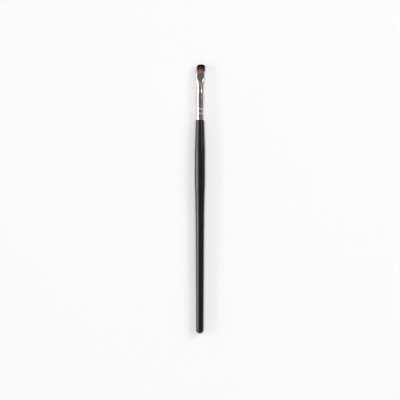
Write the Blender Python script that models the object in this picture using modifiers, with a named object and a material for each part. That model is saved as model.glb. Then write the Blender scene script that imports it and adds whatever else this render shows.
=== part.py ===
"""Flat eye blending brush: lacquered handle, plated ferrule and a short squared tuft.

The brush lies on its belly with its axis along Y, its head toward +Y and the broad
side of its flat mouth facing +Z. Heights are measured along the axis from the
handle's shoulder, towards the head. All sizes are in metres.
"""
import math
import random

import bmesh
import bpy
from mathutils import Vector

# Handle, turned from hardwood and lacquered black
HANDLE_LENGTH = 0.1387
SHOULDER_RADIUS = 0.00275
SHOULDER_ROUNDING = 0.0002
SWELL_LENGTH = 0.0215
BELLY_RADIUS = 0.00334
BELLY_LENGTH = 0.0163
NECK_IN_LENGTH = 0.0283
WAIST_RADIUS = 0.00280
TAIL_RADIUS = 0.00240
TAIL_DOME_LENGTH = 0.0027
SWELL_MIDDLE_SHARE = 0.5
NECK_IN_MIDDLE_SHARE = 0.57
TAPER_MIDDLE_SHARE = 0.55

# Tenon of the handle, inside the ferrule
TENON_PAST_CRIMPS = 0.0014
NOSE_LENGTH = 0.0022
NOSE_STEP = 0.00045
NOSE_CHAMFER = 0.0003

# Ferrule, a plated tube that is crimped on the tenon and pressed flat at the mouth
FERRULE_LENGTH = 0.0310
FERRULE_RADIUS = 0.00245
FERRULE_WALL = 0.00025
RIM_TURN_LENGTH = 0.0009
RIM_TURN_DEPTH = 0.0002
CRIMP_HEIGHT = 0.0046
CRIMP_PITCH = 0.0029
CRIMP_HALF_WIDTH = 0.0008
CRIMP_DEPTH = 0.0002
PRESS_LENGTH = 0.0120
MOUTH_FLAT_LENGTH = 0.0038
SQUARING_LENGTH = 0.0018
MOUTH_WIDTH = 0.0053
MOUTH_THICKNESS = 0.0024
MOUTH_ROUNDING = 0.00008
ROUND_POWER = 2.0
MOUTH_POWER = 4.8
WIDENING_POWER = 3.0

# Hair tuft, its strands fused to the top slice of the glued roots
TUFT_LENGTH = 0.0052
SLICE_DEPTH = 0.0015
SLICE_PROUD = 0.00005
FLARED_WIDTH = 0.0055
FLARED_THICKNESS = 0.0027
TIP_WIDTH = 0.0051
TIP_THICKNESS = 0.0022
TUFT_LEAN = 0.0001
STRAND_ROOT_DEPTH = 0.0003
STRAND_COUNT = 330
STRAND_SIDES = 3
STRAND_SEED = 11
ROW_TURN = math.radians(17)
CORNER_POWER = 4.0

# Shares of the tuft's length
FLARE_SHARE = 0.19
STRAND_POINT_SHARE = 0.1
LEFT_CORNER_DROP_SHARE = 0.34
RIGHT_CORNER_DROP_SHARE = 0.22
FACE_DROP_SHARE = 0.2
UNEVENNESS_SHARE = 0.045

# Share of the mouth's width times thickness that strands stand on
ROOTED_SHARE = 0.85

# Shares of the distance between strands
STRAND_RADIUS_SHARE = 0.4
STRAND_JITTER_SHARE = 0.07

# Root plug and its binding thread
PLUG_AIR_SPACE = 0.0025
PLUG_END_ROUNDING = 0.0006
WINDING_MARGIN = 0.0011
THREAD_RADIUS = 0.00016
THREAD_GAP = 0.00045
THREAD_TURNS = 4

# Adhesive cap over the nose of the tenon
GLUE_CAP_THICKNESS = 0.0005

# Fits between pieces
SEAT_GAP = 0.0001
FIT_GAP = 0.0001
THREAD_FIT_GAP = 0.00005

# Mesh fineness
TURNED_SEGMENTS = 24
SECTION_SEGMENTS = 32
SWELL_STEPS = 6
NECK_IN_STEPS = 8
TAPER_STEPS = 6
DOME_STEPS = 5
RIM_STEPS = 3
CRIMP_STEPS = 6
PRESS_STEPS = 8
MOUTH_FLAT_STEPS = 2
SQUARING_STEPS = 4
THREAD_STEPS_PER_TURN = 24
THREAD_BEVEL_RESOLUTION = 1
ROUNDING_SEGMENTS = 2
SHARP_ANGLE = math.radians(40)
RIM_EDGE_ANGLE = math.radians(60)
MERGE_SHARE = 0.001

# Sizes that follow from the ones above
MERGE_DISTANCE = FIT_GAP * MERGE_SHARE
TURNED_FACET_ANGLE = 2 * math.pi / TURNED_SEGMENTS
SECTION_FACET_ANGLE = 2 * math.pi / SECTION_SEGMENTS
BELLY_TOP = -SWELL_LENGTH
BELLY_BOTTOM = BELLY_TOP - BELLY_LENGTH
WAIST = BELLY_BOTTOM - NECK_IN_LENGTH
DOME = TAIL_DOME_LENGTH - HANDLE_LENGTH
OVERALL_LENGTH = HANDLE_LENGTH + SEAT_GAP + FERRULE_LENGTH + TUFT_LENGTH
MOUTH_HEIGHT = SEAT_GAP + FERRULE_LENGTH
FULL_TENON_HEIGHT = CRIMP_HEIGHT + CRIMP_PITCH + TENON_PAST_CRIMPS
NOSE_HEIGHT = FULL_TENON_HEIGHT + NOSE_LENGTH
PLUG_TOP = MOUTH_HEIGHT - SLICE_DEPTH - FIT_GAP
GLUE_CAP_TOP = NOSE_HEIGHT + FIT_GAP + GLUE_CAP_THICKNESS
PLUG_BOTTOM = GLUE_CAP_TOP + PLUG_AIR_SPACE
WINDING_DEPTH = 2 * (THREAD_RADIUS + THREAD_FIT_GAP)


def clear_scene():
    """Remove whatever objects the file already holds."""
    for old in list(bpy.data.objects):
        bpy.data.objects.remove(old, do_unlink=True)


def new_collection(name):
    """Make a collection and link it to the scene."""
    collection = bpy.data.collections.new(name)
    bpy.context.scene.collection.children.link(collection)
    return collection


def make_material(name, colour, roughness, metallic=0.0):
    """Principled material of one linear colour."""
    material = bpy.data.materials.new(name)
    material.use_nodes = True
    shader = material.node_tree.nodes["Principled BSDF"]
    shader.inputs["Base Color"].default_value = (*colour, 1.0)
    shader.inputs["Roughness"].default_value = roughness
    shader.inputs["Metallic"].default_value = metallic
    material.diffuse_color = (*colour, 1.0)
    return material


def add_object(name, data, parent, collection, material=None):
    """Link an object under the brush's axis and give it its material."""
    piece = bpy.data.objects.new(name, data)
    collection.objects.link(piece)
    piece.parent = parent
    if material:
        data.materials.append(material)
    return piece


def shade_round(mesh):
    """Smooth shading with crisp edges where the surface really turns."""
    mesh.shade_smooth()
    mesh.set_sharp_from_angle(angle=SHARP_ANGLE)


def evaluated_mesh(piece, name):
    """Mesh of an object as its modifiers or curve settings shape it."""
    bpy.context.view_layer.update()
    graph = bpy.context.evaluated_depsgraph_get()
    mesh = bpy.data.meshes.new_from_object(piece.evaluated_get(graph))
    mesh.name = name
    return mesh


def through_stations(stations, height):
    """Radius at a height, on a smooth curve through the stations with no overshoot."""
    count = len(stations)
    slopes = []
    for (h0, r0), (h1, r1) in zip(stations, stations[1:]):
        slopes.append((r1 - r0) / (h1 - h0))
    tangents = [slopes[0]]
    for before, after in zip(slopes, slopes[1:]):
        same_way = before * after > 0
        tangents.append(2 * before * after / (before + after) if same_way else 0)
    tangents.append(slopes[-1])
    index = 0
    while index < count - 2 and height > stations[index + 1][0]:
        index += 1
    h0, r0 = stations[index]
    h1, r1 = stations[index + 1]
    span = h1 - h0
    t = (height - h0) / span
    rise = t * t * (3 - 2 * t)
    leave = t * (1 - t) ** 2 * span * tangents[index]
    arrive = t * t * (1 - t) * span * tangents[index + 1]
    return r0 + (r1 - r0) * rise + leave - arrive


def ease(share):
    """Smooth step from 0 to 1."""
    share = min(max(share, 0), 1)
    return share * share * (3 - 2 * share)


def tube_dip(height):
    """Depth of the crimps and of the turned-in rim below the ferrule's plain radius."""
    dip = 0
    for centre in (CRIMP_HEIGHT, CRIMP_HEIGHT + CRIMP_PITCH):
        offset = abs(height - centre) / CRIMP_HALF_WIDTH
        if offset < 1:
            dip += CRIMP_DEPTH * (1 + math.cos(math.pi * offset)) / 2
    above_rim = (height - SEAT_GAP) / RIM_TURN_LENGTH
    if above_rim < 1:
        inward = 1 - max(above_rim, 0)
        dip += RIM_TURN_DEPTH * (1 - math.sqrt(1 - inward * inward))
    return dip


def pressed_share(height):
    """How far the ferrule is pressed flat at a height, from 0 where round to 1."""
    press_start = MOUTH_HEIGHT - PRESS_LENGTH
    return ease((height - press_start) / (PRESS_LENGTH - MOUTH_FLAT_LENGTH))


def widened_share(height):
    """How far the ferrule has spread sideways at a height, which follows the pressing late."""
    return pressed_share(height) ** WIDENING_POWER


def squared_share(height):
    """How far the flat section has squared corners at a height, close behind the mouth."""
    flat_start = MOUTH_HEIGHT - MOUTH_FLAT_LENGTH
    return ease((height - flat_start) / SQUARING_LENGTH + 1)


def tube_section(height, inset):
    """Half width, half thickness and power of the ferrule's section, drawn in by inset."""
    pressed = pressed_share(height)
    widened = widened_share(height)
    drawn_in = inset + tube_dip(height)
    half_width = FERRULE_RADIUS + (MOUTH_WIDTH / 2 - FERRULE_RADIUS) * widened
    half_thickness = FERRULE_RADIUS + (MOUTH_THICKNESS / 2 - FERRULE_RADIUS) * pressed
    power = ROUND_POWER + (MOUTH_POWER - ROUND_POWER) * squared_share(height)
    return half_width - drawn_in, half_thickness - drawn_in, power


def press_heights():
    """Heights at which the pieces follow the ferrule as it turns flat."""
    flat_start = MOUTH_HEIGHT - MOUTH_FLAT_LENGTH
    squaring_start = flat_start - SQUARING_LENGTH
    heights = spread(MOUTH_HEIGHT - PRESS_LENGTH, squaring_start, PRESS_STEPS)
    heights += spread(squaring_start, flat_start, SQUARING_STEPS)[1:]
    return heights + spread(flat_start, MOUTH_HEIGHT, MOUTH_FLAT_STEPS)[1:]


def section_point(height, inset, angle):
    """Point of the ferrule's section at an angle round the axis."""
    half_width, half_thickness, power = tube_section(height, inset)
    across = math.cos(angle)
    up = math.sin(angle)
    reach = (abs(across) ** power + abs(up) ** power) ** (-1 / power)
    return Vector((half_width * across * reach, half_thickness * up * reach, height))


def section_ring(height, inset):
    """Ring of points on the ferrule's section, with one facet facing straight down."""
    angles = [(index + 0.5) * SECTION_FACET_ANGLE for index in range(SECTION_SEGMENTS)]
    return [section_point(height, inset, angle) for angle in angles]


def add_loft(form, rings, cap_low=True, cap_high=True):
    """Skin rings of equal count, listed from low to high and each counterclockwise."""
    loops = [[form.verts.new(point) for point in ring] for ring in rings]
    for low, high in zip(loops, loops[1:]):
        for index in range(len(low)):
            after = (index + 1) % len(low)
            form.faces.new((low[index], low[after], high[after], high[index]))
    if cap_low:
        form.faces.new(reversed(loops[0]))
    if cap_high:
        form.faces.new(loops[-1])
    return loops


def loft_mesh(name, rings, capped=True):
    """Mesh of one loft."""
    form = bmesh.new()
    add_loft(form, rings, capped, capped)
    mesh = bpy.data.meshes.new(name)
    form.to_mesh(mesh)
    form.free()
    return mesh


def turned_mesh(name, profile, parent, collection):
    """Mesh turned from a profile of (radius, height) that runs from top to bottom."""
    outline = bpy.data.meshes.new(name + "_profile")
    points = [(radius, 0, height) for radius, height in profile]
    edges = [(index, index + 1) for index in range(len(points) - 1)]
    outline.from_pydata(points, edges, [])
    blank = add_object(name + "_blank", outline, parent, collection)
    screw = blank.modifiers.new("Turn", "SCREW")
    screw.steps = TURNED_SEGMENTS
    screw.render_steps = TURNED_SEGMENTS
    screw.use_merge_vertices = True
    screw.merge_threshold = MERGE_DISTANCE
    mesh = evaluated_mesh(blank, name)
    bpy.data.objects.remove(blank, do_unlink=True)
    bpy.data.meshes.remove(outline)
    shade_round(mesh)
    return mesh


def spread(start, end, steps):
    """Evenly spaced values from start to end, both included."""
    return [start + (end - start) * step / steps for step in range(steps + 1)]


def in_order(heights, lowest, highest):
    """Heights within limits, rising, without those that nearly repeat the one before."""
    kept = [lowest]
    for height in sorted(heights):
        if height - kept[-1] > FIT_GAP and highest - height > FIT_GAP:
            kept.append(height)
    return kept + [highest]


def handle_stations():
    """Heights and radii that the handle's outline runs through, tail first."""
    swell_middle = SHOULDER_RADIUS + (BELLY_RADIUS - SHOULDER_RADIUS) * SWELL_MIDDLE_SHARE
    neck_middle = BELLY_RADIUS + (WAIST_RADIUS - BELLY_RADIUS) * NECK_IN_MIDDLE_SHARE
    taper_middle = WAIST_RADIUS + (TAIL_RADIUS - WAIST_RADIUS) * TAPER_MIDDLE_SHARE
    return (
        (DOME, TAIL_RADIUS),
        ((DOME + WAIST) / 2, taper_middle),
        (WAIST, WAIST_RADIUS),
        ((WAIST + BELLY_BOTTOM) / 2, neck_middle),
        (BELLY_BOTTOM, BELLY_RADIUS),
        (BELLY_TOP, BELLY_RADIUS),
        (BELLY_TOP / 2, swell_middle),
        (0, SHOULDER_RADIUS),
    )


def grip_heights():
    """Heights at which the tenon and the ferrule follow the rim and the crimps."""
    heights = spread(SEAT_GAP, SEAT_GAP + RIM_TURN_LENGTH, RIM_STEPS)
    for centre in (CRIMP_HEIGHT, CRIMP_HEIGHT + CRIMP_PITCH):
        heights += spread(centre - CRIMP_HALF_WIDTH, centre + CRIMP_HALF_WIDTH, CRIMP_STEPS)
    return heights


def bore_radius(height):
    """Radius of a round piece that fits in the ferrule at a height."""
    return min(tube_section(height, FERRULE_WALL + FIT_GAP)[:2])


def handle_profile():
    """Outline of the handle and its tenon, from the nose down to the tail."""
    nose_radius = bore_radius(GLUE_CAP_TOP) - NOSE_STEP
    profile = [
        (0, NOSE_HEIGHT),
        (nose_radius - NOSE_CHAMFER, NOSE_HEIGHT),
        (nose_radius, NOSE_HEIGHT - NOSE_CHAMFER),
        (nose_radius, FULL_TENON_HEIGHT),
    ]
    for height in reversed(in_order(grip_heights(), 0, FULL_TENON_HEIGHT)):
        profile.append((bore_radius(height), height))
    profile.append((SHOULDER_RADIUS - SHOULDER_ROUNDING, 0))
    heights = spread(-SHOULDER_ROUNDING, BELLY_TOP, SWELL_STEPS)
    heights += spread(BELLY_BOTTOM, WAIST, NECK_IN_STEPS)
    heights += spread(WAIST, DOME, TAPER_STEPS)[1:]
    stations = handle_stations()
    for height in heights:
        profile.append((through_stations(stations, height), height))
    for step in range(1, DOME_STEPS):
        angle = math.pi / 2 * step / DOME_STEPS
        profile.append((TAIL_RADIUS * math.cos(angle), DOME - TAIL_DOME_LENGTH * math.sin(angle)))
    profile.append((0, -HANDLE_LENGTH))
    return profile


def make_handle(axis, collection):
    """Handle with its tenon, one piece of turned wood."""
    lacquer = make_material("black_lacquered_wood", (0.011, 0.010, 0.011), 0.28)
    mesh = turned_mesh("handle", handle_profile(), axis, collection)
    handle = add_object("handle", mesh, axis, collection, lacquer)
    handle.rotation_euler = (0, 0, TURNED_FACET_ANGLE / 2)
    return handle


def make_ferrule(axis, collection):
    """Ferrule: an open tube surface given its wall, with rounded rims."""
    plating = make_material("nickel_plating", (0.55, 0.52, 0.50), 0.16, 1.0)
    heights = in_order(grip_heights() + press_heights(), SEAT_GAP, MOUTH_HEIGHT)
    rings = [section_ring(height, 0) for height in heights]
    mesh = loft_mesh("ferrule", rings, capped=False)
    shade_round(mesh)
    ferrule = add_object("ferrule", mesh, axis, collection, plating)
    wall = ferrule.modifiers.new("Wall", "SOLIDIFY")
    wall.thickness = FERRULE_WALL
    wall.offset = -1
    rounding = ferrule.modifiers.new("Rims", "BEVEL")
    rounding.width = MOUTH_ROUNDING
    rounding.segments = ROUNDING_SEGMENTS
    rounding.angle_limit = RIM_EDGE_ANGLE
    return ferrule


def strand_roots():
    """Root places of the strands, on a turned and slightly jittered staggered grid."""
    draw = random.Random(STRAND_SEED)
    half_width, half_thickness, power = tube_section(MOUTH_HEIGHT, FERRULE_WALL + FIT_GAP)
    cell = 4 * half_width * half_thickness * ROOTED_SHARE / STRAND_COUNT
    pitch = math.sqrt(cell * 2 / math.sqrt(3))
    jitter = pitch * STRAND_JITTER_SHARE
    edge = pitch * (STRAND_RADIUS_SHARE + STRAND_JITTER_SHARE)
    half_width -= edge
    half_thickness -= edge
    row_pitch = pitch * math.sqrt(3) / 2
    reach = math.ceil(half_width / row_pitch) + 1
    roots = []
    for row in range(-reach, reach + 1):
        for column in range(-reach, reach + 1):
            along = (column + (row % 2) / 2) * pitch
            across = row * row_pitch
            x = along * math.cos(ROW_TURN) - across * math.sin(ROW_TURN)
            y = along * math.sin(ROW_TURN) + across * math.cos(ROW_TURN)
            if abs(x / half_width) ** power + abs(y / half_thickness) ** power > 1:
                continue
            x += draw.uniform(-jitter, jitter)
            y += draw.uniform(-jitter, jitter)
            roots.append((x, y, draw.uniform(0, 2 * math.pi), draw.random()))
    return roots, half_width, half_thickness, pitch * STRAND_RADIUS_SHARE


def tip_height(x_share, y_share, luck):
    """Length of a strand above the mouth, shorter towards the corners and faces."""
    corner_share = LEFT_CORNER_DROP_SHARE if x_share < 0 else RIGHT_CORNER_DROP_SHARE
    drop_share = corner_share * abs(x_share) ** CORNER_POWER
    drop_share += FACE_DROP_SHARE * abs(y_share) ** CORNER_POWER
    drop_share += UNEVENNESS_SHARE * luck
    return TUFT_LENGTH * (1 - drop_share)


def bundle_spread(length, half_width, half_thickness):
    """How many times wider and thicker the bundle is at a length than at the mouth."""
    flared = Vector((FLARED_WIDTH / 2 / half_width, FLARED_THICKNESS / 2 / half_thickness))
    tip = Vector((TIP_WIDTH / 2 / half_width, TIP_THICKNESS / 2 / half_thickness))
    flare_length = TUFT_LENGTH * FLARE_SHARE
    if length < flare_length:
        return Vector((1, 1)).lerp(flared, max(length, 0) / flare_length)
    return flared.lerp(tip, (length - flare_length) / (TUFT_LENGTH - flare_length))


def make_strands(axis, collection):
    """All strands as separate tapered bodies whose roots reach into the slice."""
    roots, half_width, half_thickness, radius = strand_roots()
    lengths = [tip_height(x / half_width, y / half_thickness, luck) for x, y, turn, luck in roots]
    longest = max(lengths)
    form = bmesh.new()
    for (x, y, turn, luck), length in zip(roots, lengths):
        length += TUFT_LENGTH - longest
        point_start = length - TUFT_LENGTH * STRAND_POINT_SHARE
        rings = []
        for level in (-STRAND_ROOT_DEPTH, 0, TUFT_LENGTH * FLARE_SHARE, point_start, length):
            wide, thick = bundle_spread(level, half_width, half_thickness)
            lean = TUFT_LEAN * max(level, 0) / TUFT_LENGTH
            centre = Vector((x * wide + lean, y * thick, MOUTH_HEIGHT + level))
            ring = []
            for side in range(STRAND_SIDES):
                angle = turn + 2 * math.pi * side / STRAND_SIDES
                corner = Vector((math.cos(angle) * wide, math.sin(angle) * thick, 0))
                ring.append(centre + corner * radius)
            rings.append(ring)
        rings.pop()
        last = add_loft(form, rings, cap_high=False)[-1]
        tip = form.verts.new(centre)
        for side in range(STRAND_SIDES):
            form.faces.new((last[side], last[(side + 1) % STRAND_SIDES], tip))
    mesh = bpy.data.meshes.new("strands")
    form.to_mesh(mesh)
    form.free()
    print("Strands in the tuft:", len(roots))
    return add_object("strands", mesh, axis, collection)


def make_tuft(axis, collection, cutters):
    """Tuft: the slice of glued roots with every strand fused to it."""
    hair = make_material("brown_hair", (0.070, 0.029, 0.022), 0.55)
    heights = spread(MOUTH_HEIGHT - SLICE_DEPTH, MOUTH_HEIGHT + SLICE_PROUD, 2)
    rings = [section_ring(height, FERRULE_WALL + FIT_GAP) for height in heights]
    tuft = add_object("hair_tuft", loft_mesh("hair_tuft", rings), axis, collection, hair)
    strands = make_strands(axis, cutters)
    strands.hide_render = True
    strands.display_type = "WIRE"
    union = tuft.modifiers.new("Strands", "BOOLEAN")
    union.operation = "UNION"
    union.solver = "EXACT"
    union.object = strands
    return tuft


def winding_span():
    """Lowest and highest height of the thread's centre line."""
    start = PLUG_BOTTOM + PLUG_END_ROUNDING + WINDING_MARGIN
    pitch = 2 * THREAD_RADIUS + THREAD_GAP
    return start, start + THREAD_TURNS * pitch


def make_root_plug(axis, collection):
    """Plug of resin and hair roots, waisted where the thread binds it."""
    resin = make_material("amber_resin", (0.35, 0.17, 0.06), 0.35)
    fit = FERRULE_WALL + FIT_GAP
    start, end = winding_span()
    waist_bottom = start - THREAD_RADIUS - THREAD_GAP
    waist_top = end + THREAD_RADIUS + THREAD_GAP
    levels = [
        (PLUG_BOTTOM, fit + PLUG_END_ROUNDING),
        (PLUG_BOTTOM + PLUG_END_ROUNDING, fit),
        (waist_bottom - WINDING_DEPTH, fit),
        (waist_bottom, fit + WINDING_DEPTH),
        (waist_top, fit + WINDING_DEPTH),
    ]
    for height in in_order(press_heights(), waist_top + WINDING_DEPTH, PLUG_TOP):
        levels.append((height, fit))
    mesh = loft_mesh("root_plug", [section_ring(height, inset) for height, inset in levels])
    shade_round(mesh)
    return add_object("root_plug", mesh, axis, collection, resin)


def make_binding_thread(axis, collection):
    """One unbroken thread wound round the waist of the roots."""
    cotton = make_material("cotton_thread", (0.62, 0.56, 0.44), 0.85)
    start, end = winding_span()
    inset = FERRULE_WALL + FIT_GAP + WINDING_DEPTH - THREAD_FIT_GAP - THREAD_RADIUS
    count = THREAD_TURNS * THREAD_STEPS_PER_TURN
    points = []
    for step in range(count + 1):
        angle = 2 * math.pi * step / THREAD_STEPS_PER_TURN
        points.append(section_point(start + (end - start) * step / count, inset, angle))
    gaps = []
    for index in range(count - THREAD_STEPS_PER_TURN + 1):
        above = points[index + THREAD_STEPS_PER_TURN]
        gaps.append((above - points[index]).length - 2 * THREAD_RADIUS)
    print(f"Least gap between turns of the thread, metres: {min(gaps):.6f}")

    curve = bpy.data.curves.new("binding_thread_route", "CURVE")
    curve.dimensions = "3D"
    curve.bevel_depth = THREAD_RADIUS
    curve.bevel_resolution = THREAD_BEVEL_RESOLUTION
    curve.use_fill_caps = True
    route = curve.splines.new("POLY")
    route.points.add(count)
    for point, place in zip(route.points, points):
        point.co = (*place, 1)
    return add_object("binding_thread", curve, axis, collection, cotton)


def make_handle_glue(axis, collection):
    """Cap of hardened adhesive over the nose of the tenon."""
    adhesive = make_material("clear_adhesive", (0.55, 0.50, 0.38), 0.4)
    outer = bore_radius(GLUE_CAP_TOP)
    inner = outer - NOSE_STEP + FIT_GAP
    roof = NOSE_HEIGHT + FIT_GAP
    profile = [
        (0, GLUE_CAP_TOP),
        (outer, GLUE_CAP_TOP),
        (outer, FULL_TENON_HEIGHT + FIT_GAP),
        (inner, FULL_TENON_HEIGHT + FIT_GAP),
        (inner, roof),
        (0, roof),
    ]
    mesh = turned_mesh("handle_glue", profile, axis, collection)
    cap = add_object("handle_glue", mesh, axis, collection, adhesive)
    cap.rotation_euler = (0, 0, TURNED_FACET_ANGLE / 2)
    return cap


def build():
    """Build the brush and lay it on its belly."""
    clear_scene()
    brush = new_collection("blending_brush")
    cutters = new_collection("cutters")
    axis = bpy.data.objects.new("brush_axis", None)
    brush.objects.link(axis)
    turned_radius = max(BELLY_RADIUS, SHOULDER_RADIUS, WAIST_RADIUS, TAIL_RADIUS)
    turned_reach = turned_radius * math.cos(TURNED_FACET_ANGLE / 2)
    ferrule_reach = FERRULE_RADIUS * math.cos(SECTION_FACET_ANGLE / 2)
    axis_height = max(turned_reach, ferrule_reach)
    axis.location = (0, HANDLE_LENGTH - OVERALL_LENGTH / 2, axis_height)
    axis.rotation_euler = (-math.pi / 2, 0, 0)
    make_handle(axis, brush)
    make_ferrule(axis, brush)
    make_tuft(axis, brush, cutters)
    make_root_plug(axis, brush)
    make_binding_thread(axis, brush)
    make_handle_glue(axis, brush)
    bpy.context.view_layer.update()


build()
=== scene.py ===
"""Looks of a flat eye blending brush that lies on a white table, head up in the view."""
import math
import random

import bmesh
import bpy
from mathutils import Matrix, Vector


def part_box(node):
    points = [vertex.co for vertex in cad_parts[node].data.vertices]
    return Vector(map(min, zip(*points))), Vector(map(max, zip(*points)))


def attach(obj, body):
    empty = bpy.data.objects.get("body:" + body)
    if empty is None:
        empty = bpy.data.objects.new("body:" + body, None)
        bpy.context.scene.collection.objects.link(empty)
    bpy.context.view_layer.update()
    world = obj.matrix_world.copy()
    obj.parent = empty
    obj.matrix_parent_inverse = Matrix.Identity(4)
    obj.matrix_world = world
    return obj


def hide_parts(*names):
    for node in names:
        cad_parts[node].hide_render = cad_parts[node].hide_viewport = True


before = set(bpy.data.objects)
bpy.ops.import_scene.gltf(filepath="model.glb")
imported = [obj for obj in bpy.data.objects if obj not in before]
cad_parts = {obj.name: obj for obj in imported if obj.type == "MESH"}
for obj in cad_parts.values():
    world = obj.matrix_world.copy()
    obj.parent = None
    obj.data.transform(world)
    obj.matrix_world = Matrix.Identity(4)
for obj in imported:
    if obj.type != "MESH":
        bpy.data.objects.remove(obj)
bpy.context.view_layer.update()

# Ferrule. A seamless brass tube, drawn thin and nickel plated, that is rolled into two
# crimps round the tenon, turned in at its end, and pressed flat at the mouth on the hair.
FERRULE_RADIUS = 0.00245
FERRULE_WALL = 0.00025
RIM_TURN_LENGTH = 0.0009
RIM_TURN_DEPTH = 0.0002
SEAT_GAP = 0.0001
CRIMP_HEIGHTS = (0.0046, 0.0075)
CRIMP_HALF_WIDTH = 0.0007
CRIMP_DEPTH = 0.0002
PRESS_LENGTH = 0.0135
PRESS_POWER = 1.3
MOUTH_FLAT_LENGTH = 0.0038
SQUARING_LENGTH = 0.0018
RIGHT_SQUARING_DELAY = 0.0018
MOUTH_WIDTH = 0.0053
MOUTH_THICKNESS = 0.0024
MOUTH_SHIFT = 0.00028
ROUND_POWER = 2.0
MOUTH_POWER = 4.8
WIDENING_POWER = 3
FERRULE_SIDES = 128
FERRULE_STEP = 0.00015
RIM_SIDES = 6
RINGS_IN_RIM = 2
SHARP_ANGLE = math.radians(35)
ferrule_low, ferrule_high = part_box("ferrule")
handle_low, handle_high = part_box("handle")
mouth_y = ferrule_high[1]
shoulder_y = ferrule_low[1] - SEAT_GAP
axis_z = (handle_low[2] + handle_high[2]) / 2


def spread(start, end, steps):
    """Evenly spaced values from start to end, both included."""
    return [start + (end - start) * step / steps for step in range(steps + 1)]


def ease(share):
    """Smooth step from 0 to 1."""
    share = min(max(share, 0), 1)
    return share * share * (3 - 2 * share)


def between(first, second, share):
    """Value at a share of the way from the first to the second."""
    return first + (second - first) * share


def ring_at(y, half_width, half_thickness, sides, powers=(ROUND_POWER, ROUND_POWER), middle=0.0):
    """Closed ring round the axis; its left and right powers square it where they pass 2."""
    ring = []
    for index in range(sides):
        angle = -2 * math.pi * index / sides
        across = math.cos(angle)
        up = math.sin(angle)
        power = powers[across > 0]
        reach = (abs(across) ** power + abs(up) ** power) ** (-1 / power)
        x = middle + half_width * across * reach
        ring.append(Vector((x, y, axis_z + half_thickness * up * reach)))
    return ring


def skin(name, rings, closed=False):
    """Object skinned over rings of equal count, capped or closed on its first ring."""
    form = bmesh.new()
    loops = [[form.verts.new(point) for point in ring] for ring in rings]
    pairs = list(zip(loops, loops[1:]))
    if closed:
        pairs.append((loops[-1], loops[0]))
    for first, second in pairs:
        for index in range(len(first)):
            after = (index + 1) % len(first)
            form.faces.new((first[index], first[after], second[after], second[index]))
    if not closed:
        form.faces.new(reversed(loops[0]))
        form.faces.new(loops[-1])
    bmesh.ops.recalc_face_normals(form, faces=form.faces)
    mesh = bpy.data.meshes.new(name)
    form.to_mesh(mesh)
    form.free()
    mesh.shade_smooth()
    mesh.set_sharp_from_angle(angle=SHARP_ANGLE)
    piece = bpy.data.objects.new(name, mesh)
    bpy.context.scene.collection.objects.link(piece)
    return piece


def ferrule_section(y, inset):
    """Middle, half width, half thickness and both powers of the tube's section at y."""
    pressed = ease((y - mouth_y + PRESS_LENGTH) / (PRESS_LENGTH - MOUTH_FLAT_LENGTH)) ** PRESS_POWER
    widened = pressed ** WIDENING_POWER
    powers = []
    for delay in (0, RIGHT_SQUARING_DELAY):
        squared = ease((y - mouth_y + MOUTH_FLAT_LENGTH - delay) / SQUARING_LENGTH + 1)
        powers.append(between(ROUND_POWER, MOUTH_POWER, squared))
    for crimp in CRIMP_HEIGHTS:
        offset = abs(y - shoulder_y - crimp) / CRIMP_HALF_WIDTH
        if offset < 1:
            inset += CRIMP_DEPTH * (1 + math.cos(math.pi * offset)) / 2
    inward = min(1 - (y - ferrule_low[1]) / RIM_TURN_LENGTH, 1)
    if inward > 0:
        inset += RIM_TURN_DEPTH * (1 - math.sqrt(1 - inward * inward))
    half_width = between(FERRULE_RADIUS, MOUTH_WIDTH / 2, widened)
    half_thickness = between(FERRULE_RADIUS, MOUTH_THICKNESS / 2, pressed)
    return MOUTH_SHIFT * widened, half_width - inset, half_thickness - inset, powers


def ferrule_ring(y, inset):
    """Ring on the ferrule's section at y, drawn in by inset."""
    middle, half_width, half_thickness, powers = ferrule_section(y, inset)
    return ring_at(y, half_width, half_thickness, FERRULE_SIDES, powers, middle)


ferrule_steps = round((mouth_y - ferrule_low[1]) / FERRULE_STEP)
ferrule_ys = spread(ferrule_low[1], mouth_y, ferrule_steps)[RINGS_IN_RIM:-RINGS_IN_RIM]
rim = FERRULE_WALL / 2
ferrule_rings = [ferrule_ring(y, 0) for y in ferrule_ys]
for angle in spread(0, math.pi, RIM_SIDES):
    y = mouth_y - rim + rim * math.sin(angle)
    ferrule_rings.append(ferrule_ring(y, rim - rim * math.cos(angle)))
ferrule_rings += [ferrule_ring(y, FERRULE_WALL) for y in reversed(ferrule_ys)]
for angle in spread(math.pi, 0, RIM_SIDES):
    y = ferrule_low[1] + rim - rim * math.sin(angle)
    ferrule_rings.append(ferrule_ring(y, rim - rim * math.cos(angle)))
ferrule = skin("pressed_ferrule", ferrule_rings, closed=True)
ferrule.data.shade_smooth()


def colour(code):
    """Linear colour of an sRGB hex code such as #1a2b3c."""
    channels = [int(code[start:start + 2], 16) / 255 for start in (1, 3, 5)]
    linear = [c / 12.92 if c <= 0.04045 else ((c + 0.055) / 1.055) ** 2.4 for c in channels]
    return (*linear, 1.0)


def add(material, kind, inputs, **settings):
    """Node of a kind, with its settings, and its inputs set to values or linked."""
    tree = material.node_tree
    made = tree.nodes.new(kind)
    for name, value in settings.items():
        setattr(made, name, value)
    for name, value in inputs.items():
        if isinstance(value, bpy.types.NodeSocket):
            tree.links.new(value, made.inputs[name])
        else:
            made.inputs[name].default_value = value
    return made


def new_material(name):
    """Empty node material with its output, ready for a surface."""
    material = bpy.data.materials.new(name)
    material.use_nodes = True
    material.node_tree.nodes.clear()
    return material, material.node_tree.nodes.new("ShaderNodeOutputMaterial")


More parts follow.
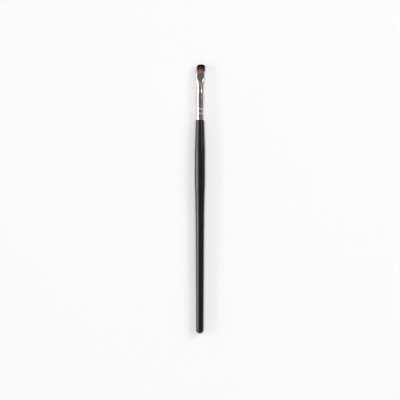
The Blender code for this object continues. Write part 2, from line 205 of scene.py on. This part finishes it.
def ramp(material, value, stops):
    """Colour ramp through stops of a position and a hex code."""
    made = add(material, "ShaderNodeValToRGB", {"Fac": value})
    while len(made.color_ramp.elements) < len(stops):
        made.color_ramp.elements.new(0.5)
    for element, (position, code) in zip(made.color_ramp.elements, stops):
        element.position = position
        element.color = colour(code)
    return made.outputs["Color"]


# Bright nickel plate over drawn brass: a warm grey mirror, with fine draw lines along
# the tube that stretch its highlights, and a little haze from handling. The real lines
# are a few hundredths of a millimetre apart, and are drawn coarser so that they show.
DRAW_LINE_WIDTH = 0.00011
DRAW_LINE_DEPTH = 0.000004
DRAW_LINE_STRETCH = 50
HAZE_PATCH = 0.0014
nickel, output = new_material("bright_nickel_plate")
place = add(nickel, "ShaderNodeTexCoord", {}).outputs["Object"]
along = add(nickel, "ShaderNodeMapping", {"Vector": place, "Scale": (1.0, 1 / DRAW_LINE_STRETCH, 1.0)})
lines = add(nickel, "ShaderNodeTexNoise", {
    "Vector": along.outputs[0], "Scale": 1 / DRAW_LINE_WIDTH, "Detail": 2.0})
haze = add(nickel, "ShaderNodeTexNoise", {"Vector": place, "Scale": 1 / HAZE_PATCH, "Detail": 3.0})
tone = ramp(nickel, haze.outputs["Fac"], ((0.0, "#c8c0be"), (1.0, "#d3cac9")))
rough = add(nickel, "ShaderNodeMapRange", {"Value": haze.outputs["Fac"], "To Min": 0.05, "To Max": 0.1})
bump = add(nickel, "ShaderNodeBump", {
    "Height": lines.outputs["Fac"], "Strength": 0.2, "Distance": DRAW_LINE_DEPTH})
surface = add(nickel, "ShaderNodeBsdfPrincipled", {
    "Base Color": tone, "Metallic": 1.0, "Roughness": rough.outputs[0], "Normal": bump.outputs[0]})
nickel.node_tree.links.new(surface.outputs[0], output.inputs["Surface"])
ferrule.data.materials.append(nickel)
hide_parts("ferrule")
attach(ferrule, "root")

# Handle. A beech dowel turned to a swelling near the head and a long taper, sanded and
# dipped in black lacquer to just past the shoulder, then buffed. Its bare tenon stands
# in the ferrule, where the two crimps bite into it.
SHOULDER_RADIUS = 0.00275
SHOULDER_ROUNDING = 0.00022
SWELL_LENGTH = 0.0215
BELLY_RADIUS = 0.00334
BELLY_LENGTH = 0.0163
NECK_IN_LENGTH = 0.0283
WAIST_RADIUS = 0.00280
TAIL_RADIUS = 0.00240
TAIL_DOME_LENGTH = 0.0027
SWELL_MIDDLE_SHARE = 0.5
NECK_IN_MIDDLE_SHARE = 0.57
TAPER_MIDDLE_SHARE = 0.55
TENON_LENGTH = 0.0089
TENON_STEP = 0.0002
NOSE_STEP = 0.00045
NOSE_CHAMFER = 0.0003
FIT_GAP = 0.0001
HANDLE_SIDES = 96
HANDLE_STEP = 0.0012
DOME_STEPS = 14
DOME_POLE_ANGLE = math.radians(3)
SHOULDER_STEPS = 5
LACQUER_REACH = 0.0008


def outline_radius(stations, y):
    """Radius at y, on a smooth outline through the stations that never overshoots."""
    slopes = []
    for (y0, r0), (y1, r1) in zip(stations, stations[1:]):
        slopes.append((r1 - r0) / (y1 - y0))
    tangents = [slopes[0]]
    for before, after in zip(slopes, slopes[1:]):
        tangents.append(2 * before * after / (before + after) if before * after > 0 else 0)
    tangents.append(slopes[-1])
    index = 0
    while index < len(stations) - 2 and y > stations[index + 1][0]:
        index += 1
    y0, r0 = stations[index]
    y1, r1 = stations[index + 1]
    t = (y - y0) / (y1 - y0)
    leave = t * (1 - t) ** 2 * (y1 - y0) * tangents[index]
    arrive = t * t * (1 - t) * (y1 - y0) * tangents[index + 1]
    return r0 + (r1 - r0) * t * t * (3 - 2 * t) + leave - arrive


belly_top = shoulder_y - SWELL_LENGTH
belly_bottom = belly_top - BELLY_LENGTH
waist = belly_bottom - NECK_IN_LENGTH
dome = handle_low[1] + TAIL_DOME_LENGTH
handle_stations = (
    (dome, TAIL_RADIUS),
    ((dome + waist) / 2, between(WAIST_RADIUS, TAIL_RADIUS, TAPER_MIDDLE_SHARE)),
    (waist, WAIST_RADIUS),
    ((waist + belly_bottom) / 2, between(BELLY_RADIUS, WAIST_RADIUS, NECK_IN_MIDDLE_SHARE)),
    (belly_bottom, BELLY_RADIUS),
    (belly_top, BELLY_RADIUS),
    ((belly_top + shoulder_y) / 2, between(SHOULDER_RADIUS, BELLY_RADIUS, SWELL_MIDDLE_SHARE)),
    (shoulder_y, SHOULDER_RADIUS),
)

outline = []
for angle in spread(DOME_POLE_ANGLE, math.pi / 2, DOME_STEPS)[:-1]:
    outline.append((dome - TAIL_DOME_LENGTH * math.cos(angle), TAIL_RADIUS * math.sin(angle)))
edge_y = shoulder_y - SHOULDER_ROUNDING
for y in spread(dome, edge_y, round((edge_y - dome) / HANDLE_STEP)):
    outline.append((y, outline_radius(handle_stations, y)))
for angle in spread(0, math.pi / 2, SHOULDER_STEPS)[1:]:
    radius = SHOULDER_RADIUS - SHOULDER_ROUNDING * (1 - math.cos(angle))
    outline.append((edge_y + SHOULDER_ROUNDING * math.sin(angle), radius))
tenon_end = shoulder_y + TENON_LENGTH
for y in spread(shoulder_y, tenon_end, round(TENON_LENGTH / TENON_STEP)):
    outline.append((y, ferrule_section(y, FERRULE_WALL + FIT_GAP)[1]))
nose_radius = outline[-1][1] - NOSE_STEP
outline.append((tenon_end, nose_radius))
outline.append((handle_high[1] - NOSE_CHAMFER, nose_radius))
outline.append((handle_high[1], nose_radius - NOSE_CHAMFER))
handle_rings = [ring_at(y, radius, radius, HANDLE_SIDES) for y, radius in outline]
handle = skin("lacquered_handle", handle_rings)

# Nitrocellulose lacquer, dipped and buffed: a deep neutral black under a clear gloss,
# with a faint orange peel and the closed grain of the wood running along the handle.
GRAIN_WIDTH = 0.00028
GRAIN_DEPTH = 0.000008
GRAIN_STRETCH = 33
PEEL_SIZE = 0.0006
PEEL_DEPTH = 0.00001
lacquer, output = new_material("black_nitro_lacquer")
place = add(lacquer, "ShaderNodeTexCoord", {}).outputs["Object"]
along = add(lacquer, "ShaderNodeMapping", {"Vector": place, "Scale": (1.0, 1 / GRAIN_STRETCH, 1.0)})
grain = add(lacquer, "ShaderNodeTexNoise", {
    "Vector": along.outputs[0], "Scale": 1 / GRAIN_WIDTH, "Detail": 3.0})
peel = add(lacquer, "ShaderNodeTexNoise", {"Vector": place, "Scale": 1 / PEEL_SIZE, "Detail": 2.0})
tone = ramp(lacquer, grain.outputs["Fac"], ((0.35, "#0b0a0b"), (0.7, "#151314")))
grain_bump = add(lacquer, "ShaderNodeBump", {
    "Height": grain.outputs["Fac"], "Strength": 0.25, "Distance": GRAIN_DEPTH})
peel_bump = add(lacquer, "ShaderNodeBump", {
    "Height": peel.outputs["Fac"], "Strength": 0.3, "Distance": PEEL_DEPTH,
    "Normal": grain_bump.outputs[0]})
gloss = add(lacquer, "ShaderNodeMapRange", {"Value": peel.outputs["Fac"], "To Min": 0.14, "To Max": 0.2})
surface = add(lacquer, "ShaderNodeBsdfPrincipled", {
    "Base Color": tone, "Roughness": gloss.outputs[0], "IOR": 1.5, "Normal": peel_bump.outputs[0]})
lacquer.node_tree.links.new(surface.outputs[0], output.inputs["Surface"])
handle.data.materials.append(lacquer)

# Bare beech on the tenon: pale and open, with short darker flecks along the grain.
FLECK_WIDTH = 0.0002
FLECK_DEPTH = 0.00002
FLECK_STRETCH = 8
beech, output = new_material("bare_beech")
place = add(beech, "ShaderNodeTexCoord", {}).outputs["Object"]
along = add(beech, "ShaderNodeMapping", {"Vector": place, "Scale": (1.0, 1 / FLECK_STRETCH, 1.0)})
flecks = add(beech, "ShaderNodeTexNoise", {
    "Vector": along.outputs[0], "Scale": 1 / FLECK_WIDTH, "Detail": 3.0})
tone = ramp(beech, flecks.outputs["Fac"], ((0.35, "#a8794f"), (0.6, "#cda275")))
bump = add(beech, "ShaderNodeBump", {
    "Height": flecks.outputs["Fac"], "Strength": 0.4, "Distance": FLECK_DEPTH})
surface = add(beech, "ShaderNodeBsdfPrincipled", {
    "Base Color": tone, "Roughness": 0.7, "Normal": bump.outputs[0]})
beech.node_tree.links.new(surface.outputs[0], output.inputs["Surface"])
handle.data.materials.append(beech)
bare_start = shoulder_y + LACQUER_REACH
for face in handle.data.polygons:
    if min(handle.data.vertices[index].co.y for index in face.vertices) > bare_start:
        face.material_index = 1
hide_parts("handle")
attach(handle, "root")

# Hair tuft. Brown hair with darker tips, packed dense and cut short and square with
# rounded corners. It fills the pressed mouth, bellies out over the rim and draws in a
# little at the tips; hairs lie in soft locks, and their points are not all level.
FLARE_HEIGHT = 0.0010
FLARED_HALF_WIDTH = 0.00281
FLARED_HALF_THICKNESS = 0.00135
TIP_HALF_WIDTH = 0.00260
TIP_HALF_THICKNESS = 0.00110
TUFT_LEAN = 0.0003
LEAN_HEIGHT = 0.0012
TIP_REACH = 0.00008
ROOT_DEPTH = 0.0012
LEFT_DROP_SHARE = 0.28
RIGHT_DROP_SHARE = 0.14
FACE_DROP_SHARE = 0.2
DROP_POWER = 4
HAIR_RADIUS = 0.00003
THINNEST_SHARE = 0.75
THICKEST_SHARE = 1.2
HAIR_COUNT = 4200
HAIR_SIDES = 3
HAIR_LEVELS = (0.0, 0.2, 0.36, 0.54, 0.72, 0.88, 1.0)
HAIR_SPREAD_ACROSS = 0.02
HAIR_SPREAD_DEEP = 0.03
HAIR_UNEVENNESS_SHARE = 0.06
TAPER_START_SHARE = 0.6
TAPERED_SHARE = 0.5
BUNDLE_FILL = 0.97
LOCKS_ACROSS = 9
LOCKS_DEEP = 3
LOCK_PLACE_LIMITS = (0.2, 0.8)
LOCK_WIDTH_WEIGHT = 4
LOCK_PULL = 0.16
LOCK_DRIFT_ACROSS = 0.015
LOCK_DRIFT_DEEP = 0.03
LOCK_UNEVENNESS_SHARE = 0.02
STRAY_SHARE = 0.006
STRAY_START = 0.8
STRAY_SPREAD = 0.25
STRAY_LENGTH_SHARE = 0.6
tuft_top_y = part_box("hair_tuft")[1][1]
tuft_length = tuft_top_y - mouth_y + TIP_REACH
SEED = 20
draw = random.Random(SEED)


def hair_place(u, v, height):
    """Point of a hair at shares u, v of the bundle's half width and half thickness."""
    middle, half_width, half_thickness = ferrule_section(mouth_y, FERRULE_WALL)[:3]
    if height < FLARE_HEIGHT:
        share = ease(height / FLARE_HEIGHT)
        wide = between(half_width, FLARED_HALF_WIDTH, share)
        thick = between(half_thickness, FLARED_HALF_THICKNESS, share)
    else:
        share = (height - FLARE_HEIGHT) / (tuft_length - FLARE_HEIGHT)
        wide = between(FLARED_HALF_WIDTH, TIP_HALF_WIDTH, share)
        thick = between(FLARED_HALF_THICKNESS, TIP_HALF_THICKNESS, share)
    lean = TUFT_LEAN * ease(height / LEAN_HEIGHT)
    return Vector((middle + u * wide + lean, mouth_y + height, axis_z + v * thick))


locks = []
for across in range(LOCKS_ACROSS):
    for deep in range(LOCKS_DEEP):
        lock_u = (across + draw.uniform(*LOCK_PLACE_LIMITS)) * 2 / LOCKS_ACROSS - 1
        lock_v = (deep + draw.uniform(*LOCK_PLACE_LIMITS)) * 2 / LOCKS_DEEP - 1
        drift_u = draw.gauss(0, LOCK_DRIFT_ACROSS)
        drift_v = draw.gauss(0, LOCK_DRIFT_DEEP)
        locks.append((lock_u, lock_v, drift_u, drift_v, draw.uniform(-1, 1)))


def add_hair(form, path, thickness, turn):
    """Tapered hair of a few sides through the points of its path, the last its tip."""
    rings = []
    for index, centre in enumerate(path[:-1]):
        past_start = max(index / (len(path) - 1) - TAPER_START_SHARE, 0)
        taper = 1 - TAPERED_SHARE * past_start / (1 - TAPER_START_SHARE)
        ring = []
        for side in range(HAIR_SIDES):
            angle = turn - 2 * math.pi * side / HAIR_SIDES
            offset = Vector((math.cos(angle), 0, math.sin(angle))) * thickness * taper
            ring.append(form.verts.new(centre + offset))
        rings.append(ring)
    tip = form.verts.new(path[-1])
    for first, second in zip(rings, rings[1:]):
        for side in range(HAIR_SIDES):
            after = (side + 1) % HAIR_SIDES
            form.faces.new((first[side], first[after], second[after], second[side]))
    for side in range(HAIR_SIDES):
        form.faces.new((rings[-1][side], rings[-1][(side + 1) % HAIR_SIDES], tip))
    form.faces.new(reversed(rings[0]))


# Three partings run along the tuft. Painted shade gives the hairs in them a darker tone, as if nearer
# their tips; only the middle one is deep enough to sink the upper face. The sides get painted shade too.
MIDDLE_PARTING = 0.18
RIGHT_PARTING = 0.66
LEFT_PARTING = -0.5
PARTING_WIDTH = 0.1
PARTING_DEPTH = 0.45
MIDDLE_PARTING_PAINTED_SHADE = 0.5
RIGHT_PARTING_PAINTED_SHADE = 0.3
LEFT_PARTING_PAINTED_SHADE = 0.14
SIDE_PAINTED_SHADE = 0.06
LEFT_PAINTED_SHADE_LIMITS = (-0.15, -0.65)
RIGHT_PAINTED_SHADE_LIMITS = (0.5, 0.75)
LOCK_SHADE = 0.04
HAIR_SHADE = 0.07


def in_parting(u, place):
    """How far a hair at u stands in the parting at a place, from 0 to 1."""
    return math.exp(-((u - place) / PARTING_WIDTH) ** 2)


def on_side(u, limits):
    """How far a hair at u stands past the first limit towards the second, from 0 to 1."""
    return ease((u - limits[0]) / (limits[1] - limits[0]))


def painted_shade_at(u):
    """How much painted shade darkens a hair at u, in the partings and on the sides."""
    middle = MIDDLE_PARTING_PAINTED_SHADE * in_parting(u, MIDDLE_PARTING)
    right = RIGHT_PARTING_PAINTED_SHADE * in_parting(u, RIGHT_PARTING)
    left = LEFT_PARTING_PAINTED_SHADE * in_parting(u, LEFT_PARTING)
    sides = SIDE_PAINTED_SHADE * (on_side(u, LEFT_PAINTED_SHADE_LIMITS) + on_side(u, RIGHT_PAINTED_SHADE_LIMITS))
    return middle + right + left + sides


form = bmesh.new()
painted_shades_and_tones = []
while len(painted_shades_and_tones) < HAIR_COUNT:
    u = draw.uniform(-1, 1)
    v = draw.uniform(-1, 1)
    if abs(u) ** MOUTH_POWER + abs(v) ** MOUTH_POWER > BUNDLE_FILL:
        continue
    nearest = min(locks, key=lambda lock: LOCK_WIDTH_WEIGHT * (lock[0] - u) ** 2 + (lock[1] - v) ** 2)
    lock_u, lock_v, drift_u, drift_v, lock_tone = nearest
    corner_share = LEFT_DROP_SHARE if u < 0 else RIGHT_DROP_SHARE
    drop_share = corner_share * abs(u) ** DROP_POWER + FACE_DROP_SHARE * abs(v) ** DROP_POWER
    drop_share += LOCK_UNEVENNESS_SHARE * lock_tone + HAIR_UNEVENNESS_SHARE * draw.random() ** 2
    length = tuft_length * (1 - drop_share)
    sunk = PARTING_DEPTH * in_parting(u, MIDDLE_PARTING) * max(v, 0)
    shift_u = (lock_u - u) * LOCK_PULL + drift_u + draw.gauss(0, HAIR_SPREAD_ACROSS)
    shift_v = (lock_v - v) * LOCK_PULL + drift_v + draw.gauss(0, HAIR_SPREAD_DEEP) - sunk
    if draw.random() < STRAY_SHARE and abs(u) > STRAY_START:
        shift_u += STRAY_SPREAD * u
        length *= STRAY_LENGTH_SHARE
    path = []
    for level in HAIR_LEVELS:
        height = -ROOT_DEPTH + (length + ROOT_DEPTH) * level
        bend = ease(height / tuft_length)
        path.append(hair_place(u + shift_u * bend, v + shift_v * bend, height))
    thickness = HAIR_RADIUS * draw.uniform(THINNEST_SHARE, THICKEST_SHARE)
    add_hair(form, path, thickness, draw.uniform(0, 2 * math.pi))
    own_shade = LOCK_SHADE * lock_tone + draw.uniform(-HAIR_SHADE, HAIR_SHADE)
    # The hair's painted shade from the partings and sides, plus its own random tone.
    painted_shades_and_tones.append(painted_shade_at(u) + own_shade)
mesh = bpy.data.meshes.new("hair_bundle")
form.to_mesh(mesh)
form.free()
mesh.shade_smooth()
# Each hair's painted shade, with its own random tone, is stored on all its points.
painted_shade_and_tone = mesh.attributes.new("painted_shade_and_tone", "FLOAT", "POINT")
hair_points = HAIR_SIDES * (len(HAIR_LEVELS) - 1) + 1
painted_shade_and_tone.data.foreach_set("value", [value for value in painted_shades_and_tones for point in range(hair_points)])
hair = bpy.data.objects.new("hair_bundle", mesh)
bpy.context.scene.collection.objects.link(hair)

# Natural brown hair: satin, lighter and drier near the ferrule, almost black at the tips,
# each hair a little lighter or darker than its neighbours.
fur, output = new_material("natural_brown_hair")
place = add(fur, "ShaderNodeTexCoord", {}).outputs["Object"]
split = add(fur, "ShaderNodeSeparateXYZ", {"Vector": place})
height = add(fur, "ShaderNodeMapRange", {
    "Value": split.outputs["Y"], "From Min": mouth_y, "From Max": mouth_y + tuft_length})
# Painted shade and each hair's own tone move the hair along the ramp towards the dark tip colour.
painted_shade_and_tone = add(fur, "ShaderNodeAttribute", {}, attribute_name="painted_shade_and_tone")
height_and_painted_shade = add(fur, "ShaderNodeMath", {0: height.outputs[0], 1: painted_shade_and_tone.outputs["Fac"]}, operation="ADD")
tone = ramp(fur, height_and_painted_shade.outputs[0], (
    (0.0, "#bb9d90"), (0.22, "#a07a6a"), (0.42, "#7a5042"),
    (0.62, "#5e352c"), (0.75, "#3a1612"), (0.85, "#240b0a")))
surface = add(fur, "ShaderNodeBsdfPrincipled", {
    "Base Color": tone, "Roughness": 0.5, "IOR": 1.55, "Specular IOR Level": 0.12})
fur.node_tree.links.new(surface.outputs[0], output.inputs["Surface"])
hair.data.materials.append(fur)
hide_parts("hair_tuft")
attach(hair, "root")

# Root plug. The roots of the hair, dipped in resin that has set amber round them, so
# that it is streaked along its length by the darker hairs in it.
ROOT_SPACING = 0.00017
ROOT_DEPTH_IN_RESIN = 0.00002
ROOT_STRETCH = 20
resin, output = new_material("set_amber_resin")
place = add(resin, "ShaderNodeTexCoord", {}).outputs["Object"]
along = add(resin, "ShaderNodeMapping", {"Vector": place, "Scale": (1.0, 1 / ROOT_STRETCH, 1.0)})
roots = add(resin, "ShaderNodeTexNoise", {
    "Vector": along.outputs[0], "Scale": 1 / ROOT_SPACING, "Detail": 2.0})
tone = ramp(resin, roots.outputs["Fac"], ((0.0, "#6b3a16"), (1.0, "#c28a45")))
bump = add(resin, "ShaderNodeBump", {
    "Height": roots.outputs["Fac"], "Strength": 0.4, "Distance": ROOT_DEPTH_IN_RESIN})
surface = add(resin, "ShaderNodeBsdfPrincipled", {
    "Base Color": tone, "Roughness": 0.3, "IOR": 1.55, "Normal": bump.outputs[0]})
resin.node_tree.links.new(surface.outputs[0], output.inputs["Surface"])

# Binding thread. Cotton, twisted in two plies and wound round the roots before they set.
# Bands of a wave texture of scale 1 come every WAVE_PERIOD, and here every ply's pitch.
PLY_PITCH = 0.00024
PLY_DEPTH = 0.00003
WAVE_PERIOD = math.pi / 10
cotton, output = new_material("twisted_cotton")
place = add(cotton, "ShaderNodeTexCoord", {}).outputs["Object"]
plies = add(cotton, "ShaderNodeTexWave", {
    "Vector": place, "Scale": WAVE_PERIOD / PLY_PITCH, "Distortion": 2.0},
    wave_type="BANDS", bands_direction="DIAGONAL")
tone = ramp(cotton, plies.outputs["Fac"], ((0.0, "#b7a888"), (1.0, "#e0d5bb")))
bump = add(cotton, "ShaderNodeBump", {
    "Height": plies.outputs["Fac"], "Strength": 0.5, "Distance": PLY_DEPTH})
surface = add(cotton, "ShaderNodeBsdfPrincipled", {
    "Base Color": tone, "Roughness": 0.85, "Normal": bump.outputs[0]})
cotton.node_tree.links.new(surface.outputs[0], output.inputs["Surface"])

# Handle glue. White wood glue that dried clear and yellowish over the nose of the tenon,
# with the soft runs that it set in.
RUN_SIZE = 0.0007
RUN_DEPTH = 0.00003
glue, output = new_material("dried_wood_glue")
place = add(glue, "ShaderNodeTexCoord", {}).outputs["Object"]
runs = add(glue, "ShaderNodeTexNoise", {"Vector": place, "Scale": 1 / RUN_SIZE, "Detail": 3.0})
tone = ramp(glue, runs.outputs["Fac"], ((0.0, "#a8946a"), (1.0, "#d3c49c")))
bump = add(glue, "ShaderNodeBump", {
    "Height": runs.outputs["Fac"], "Strength": 0.4, "Distance": RUN_DEPTH})
surface = add(glue, "ShaderNodeBsdfPrincipled", {
    "Base Color": tone, "Roughness": 0.35, "IOR": 1.47, "Normal": bump.outputs[0]})
glue.node_tree.links.new(surface.outputs[0], output.inputs["Surface"])
for node_name, material in (("root_plug", resin), ("binding_thread", cotton), ("handle_glue", glue)):
    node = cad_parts[node_name]
    node.data.materials.clear()
    node.data.materials.append(material)

# Table. A matt white laminate that the brush lies on, wide enough to fill every view. Far
# from the brush it turns into an even white, so that no edge or falloff of light shows.
TABLE_HALF_SIZE = 3.0
LAMINATE_REACH = 0.35
EVEN_WHITE_START = 1.0
corners = [(-TABLE_HALF_SIZE, -TABLE_HALF_SIZE, 0), (TABLE_HALF_SIZE, -TABLE_HALF_SIZE, 0),
           (TABLE_HALF_SIZE, TABLE_HALF_SIZE, 0), (-TABLE_HALF_SIZE, TABLE_HALF_SIZE, 0)]
mesh = bpy.data.meshes.new("table_top")
mesh.from_pydata(corners, [], [(0, 1, 2, 3)])
table = bpy.data.objects.new("table_top", mesh)
bpy.context.scene.collection.objects.link(table)
laminate, output = new_material("matt_white_laminate")
place = add(laminate, "ShaderNodeTexCoord", {}).outputs["Object"]
reach = add(laminate, "ShaderNodeVectorMath", {0: place}, operation="LENGTH")
far = add(laminate, "ShaderNodeMapRange", {
    "Value": reach.outputs["Value"], "From Min": LAMINATE_REACH, "From Max": EVEN_WHITE_START},
    interpolation_type="SMOOTHSTEP")
near_surface = add(laminate, "ShaderNodeBsdfDiffuse", {"Color": colour("#f2f2f3")})
far_surface = add(laminate, "ShaderNodeEmission", {"Color": colour("#f9f9f9"), "Strength": 1.0})
surface = add(laminate, "ShaderNodeMixShader", {
    0: far.outputs[0], 1: near_surface.outputs[0], 2: far_surface.outputs[0]})
laminate.node_tree.links.new(surface.outputs[0], output.inputs["Surface"])
table.data.materials.append(laminate)

# Light. A wall of diffuser panels stands on the left, and a low panel before it, only for
# the gloss to mirror. The lacquer has the brightest opposite, the ferrule a dimmer one.
WHITE = "#ffffff"
WARM_WHITE = "#fffaf6"


def lamp(name, place, target, width, height, radiance, tint):
    """Area lamp at a place, turned to a target, of a given radiance."""
    light = bpy.data.lights.new(name, "AREA")
    light.shape = "RECTANGLE"
    light.size = width
    light.size_y = height
    light.energy = radiance * math.pi * width * height
    light.color = colour(tint)[:3]
    made = bpy.data.objects.new(name, light)
    bpy.context.scene.collection.objects.link(made)
    made.location = place
    made.rotation_euler = (Vector(target) - Vector(place)).to_track_quat("-Z", "Y").to_euler()
    made.visible_camera = False
    return made


WALL_DISTANCE = 3.0
WALL_HEIGHT = 4.45
LOWERED_HEIGHT = 2.65
UPPER_WALL_HEIGHT = 3.9
WALL_PANELS = (
    ("near_left_wall", -2.8, -0.18, WALL_HEIGHT, 1.7),
    ("left_wall", -0.18, 0.15, WALL_HEIGHT, 4.4),
    ("lowered_left_wall", 0.15, 0.36, LOWERED_HEIGHT, 1.5),
    ("upper_left_wall", 0.36, 0.8, UPPER_WALL_HEIGHT, 3.4),
    ("far_left_wall", 0.8, 2.8, WALL_HEIGHT, 1.6),
)
for name, start, end, height, radiance in WALL_PANELS:
    y = (start + end) / 2
    place = (-WALL_DISTANCE, y, height / 2)
    wall = lamp(name, place, (0, y, height / 2), end - start, height, radiance, WHITE)
    wall.visible_diffuse = False
LOW_WALL_DISTANCE = 2.9
LOW_WALL_WIDTH = 0.9
LOW_WALL_HEIGHT = 0.9
LOW_WALL_RADIANCE = 2.6
low_z = LOW_WALL_HEIGHT / 2
low_wall = lamp("low_left_wall", (-LOW_WALL_DISTANCE, 0, low_z), (0, 0, low_z),
                LOW_WALL_WIDTH, LOW_WALL_HEIGHT, LOW_WALL_RADIANCE, WHITE)
low_wall.visible_diffuse = False

# A window on the left and a softbox from the upper right light the table and the hair. No
# gloss mirrors them, and the softbox throws the soft shadow to the left.
WINDOW_RISE = math.radians(27)
WINDOW_SIZE = 0.6
WINDOW_RADIANCE = 14.8
window_place = (-WALL_DISTANCE * math.cos(WINDOW_RISE), 0, WALL_DISTANCE * math.sin(WINDOW_RISE))
window = lamp("left_window", window_place, (0, 0, 0), WINDOW_SIZE, WINDOW_SIZE, WINDOW_RADIANCE, WHITE)
window.visible_glossy = False
KEY_DISTANCE = 2.5
KEY_RISE = math.radians(34.5)
KEY_TURN = math.radians(30)
KEY_WIDTH = 1.8
KEY_HEIGHT = 1.0
KEY_RADIANCE = 3.5
key_reach = KEY_DISTANCE * math.cos(KEY_RISE)
key_place = (key_reach * math.cos(KEY_TURN), key_reach * math.sin(KEY_TURN),
             KEY_DISTANCE * math.sin(KEY_RISE))
key = lamp("upper_right_softbox", key_place, (0, 0, 0), KEY_WIDTH, KEY_HEIGHT, KEY_RADIANCE, WARM_WHITE)
key.visible_glossy = False

# Strips on the right, past the head, draw the metal's narrow streak, and a fill above,
# which no gloss mirrors, lifts the shadow.
STRIP_DISTANCE = 3.0
STRIP_RISE = math.radians(44)
STRIP_HEIGHT = 0.6
STRIPS = (("right_strip", 0.235, 0.75, 5.0), ("far_right_strip", 0.75, 2.0, 0.8))
for name, start, end, radiance in STRIPS:
    y = (start + end) / 2
    strip_place = (STRIP_DISTANCE * math.cos(STRIP_RISE), y, STRIP_DISTANCE * math.sin(STRIP_RISE))
    lamp(name, strip_place, (0, y, 0), end - start, STRIP_HEIGHT, radiance, WARM_WHITE)
FILL_HEIGHT = 3.0
FILL_SIZE = 1.5
FILL_RADIANCE = 7.95
fill = lamp("overhead_fill", (0, 0, FILL_HEIGHT), (0, 0, 0), FILL_SIZE, FILL_SIZE, FILL_RADIANCE, WHITE)
fill.visible_glossy = False

# The room is white up to a height that falls towards the right. The grey ceiling above it
# is lighter at the two ends of the brush. Diffuse rays and the view see even values.
WHITE_WALL = 0.95
WALL_TOP_START = 0.32
WALL_TOP_END = 0.45
WALL_TOP_FALL = 0.42
FALL_START = 0.2
FALL_END = 0.95
CEILING_MIDDLE = 0.19
CEILING_ENDS = 0.64
CEILING_ENDS_START = 0.2
CEILING_ENDS_END = 0.75
DIFFUSE_ROOM = 0.2
SEEN_ROOM = 0.95
world = bpy.data.worlds.new("studio")
bpy.context.scene.world = world
world.use_nodes = True
world.node_tree.nodes.clear()
sky_out = world.node_tree.nodes.new("ShaderNodeOutputWorld")
direction = add(world, "ShaderNodeTexCoord", {}).outputs["Generated"]
split = add(world, "ShaderNodeSeparateXYZ", {"Vector": direction})
right = add(world, "ShaderNodeMapRange", {
    "Value": split.outputs["X"], "From Min": FALL_START, "From Max": FALL_END,
    "To Min": 0.0, "To Max": WALL_TOP_FALL})
lift = add(world, "ShaderNodeMath", {0: split.outputs["Z"], 1: right.outputs[0]}, operation="ADD")
ends = add(world, "ShaderNodeMath", {0: split.outputs["Y"]}, operation="ABSOLUTE")
ceiling = add(world, "ShaderNodeMapRange", {
    "Value": ends.outputs[0], "From Min": CEILING_ENDS_START, "From Max": CEILING_ENDS_END,
    "To Min": CEILING_MIDDLE, "To Max": CEILING_ENDS}, interpolation_type="SMOOTHSTEP")
rise = add(world, "ShaderNodeMapRange", {
    "Value": lift.outputs[0], "From Min": WALL_TOP_START, "From Max": WALL_TOP_END,
    "To Min": WHITE_WALL, "To Max": ceiling.outputs[0]}, interpolation_type="SMOOTHSTEP")
rays = add(world, "ShaderNodeLightPath", {})
soft = add(world, "ShaderNodeMix", {
    "Factor": rays.outputs["Is Diffuse Ray"], "A": rise.outputs[0], "B": DIFFUSE_ROOM})
seen = add(world, "ShaderNodeMix", {
    "Factor": rays.outputs["Is Camera Ray"], "A": soft.outputs[0], "B": SEEN_ROOM})
sky = add(world, "ShaderNodeBackground", {"Color": colour(WHITE), "Strength": seen.outputs[0]})
world.node_tree.links.new(sky.outputs[0], sky_out.inputs["Surface"])

# Camera. It looks straight down on the brush from well above, with the head up.
PHOTO_SIZE_PX = 400
METRES_PER_PIXEL = 0.00065
MIDDLE_X_PX = 199.98
MIDDLE_Y_PX = 199.1
ROLL = math.radians(0.035)
CAMERA_HEIGHT = 1.5
SENSOR_WIDTH_MM = 36
NEAREST_SEEN = 0.01
FARTHEST_SEEN = 20
lens = bpy.data.cameras.new("camera")
camera = bpy.data.objects.new("camera", lens)
bpy.context.scene.collection.objects.link(camera)
bpy.context.scene.camera = camera
half_px = PHOTO_SIZE_PX / 2
camera.location = (
    (half_px - MIDDLE_X_PX) * METRES_PER_PIXEL,
    (MIDDLE_Y_PX - half_px) * METRES_PER_PIXEL,
    CAMERA_HEIGHT + axis_z,
)
camera.rotation_euler = (0, 0, ROLL)
lens.sensor_width = SENSOR_WIDTH_MM
lens.lens = SENSOR_WIDTH_MM * CAMERA_HEIGHT / (PHOTO_SIZE_PX * METRES_PER_PIXEL)
lens.clip_start = NEAREST_SEEN
lens.clip_end = FARTHEST_SEEN

bpy.context.scene.view_settings.view_transform = "Standard"
bpy.context.view_layer.update()
